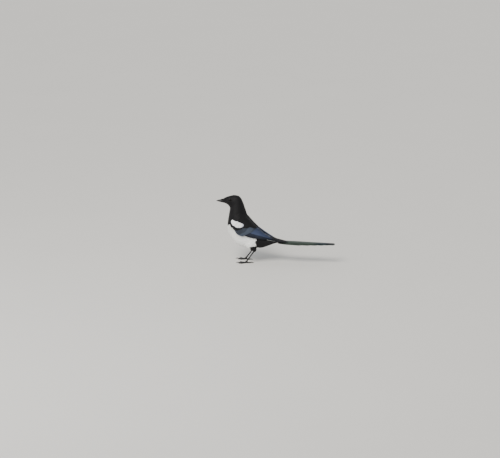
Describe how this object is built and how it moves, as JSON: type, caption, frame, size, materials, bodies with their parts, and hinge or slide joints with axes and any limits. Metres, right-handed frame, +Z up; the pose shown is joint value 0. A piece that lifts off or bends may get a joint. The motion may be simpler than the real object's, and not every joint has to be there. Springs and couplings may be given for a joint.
{
  "type": "eurasian magpie",
  "caption": "Life-size magpie that stands alert with its head up, wings folded and long tail held level",
  "frame": {"origin": "on the ground under the middle of the bird, half way between bill tip and tail tip", "axes": "+Z up, the bird faces -X with its tail to +X, its left side is -Y"},
  "size_m": [0.4002, 0.0858, 0.2288],
  "materials": {
    "body_feathers": "soft feathers, black, with a white belly and shoulder patch",
    "wing_feathers": "glossy dark blue feathers with a sheen",
    "tail_feathers": "glossy green-black feathers with a sheen",
    "bill_horn": "satin black horn",
    "claw_horn": "satin black horn",
    "eye": "polished dark brown",
    "leg_scales": "satin black scaled skin"
  },
  "bodies": {
    "root": {"rump": "body_feathers", "torso": "body_feathers", "neck": "body_feathers", "head": "body_feathers", "bill_upper": "bill_horn", "bill_lower": "bill_horn", "tail": "tail_feathers", "eye_left": "eye", "wing_left": "wing_feathers", "thigh_left": "body_feathers", "shank_left": "leg_scales", "foot_left": "leg_scales", "claw_left_inner": "claw_horn", "claw_left_middle": "claw_horn", "claw_left_outer": "claw_horn", "claw_left_hind": "claw_horn", "eye_right": "eye", "wing_right": "wing_feathers", "thigh_right": "body_feathers", "shank_right": "leg_scales", "foot_right": "leg_scales", "claw_right_inner": "claw_horn", "claw_right_middle": "claw_horn", "claw_right_outer": "claw_horn", "claw_right_hind": "claw_horn"}
  },
  "joints": []
}
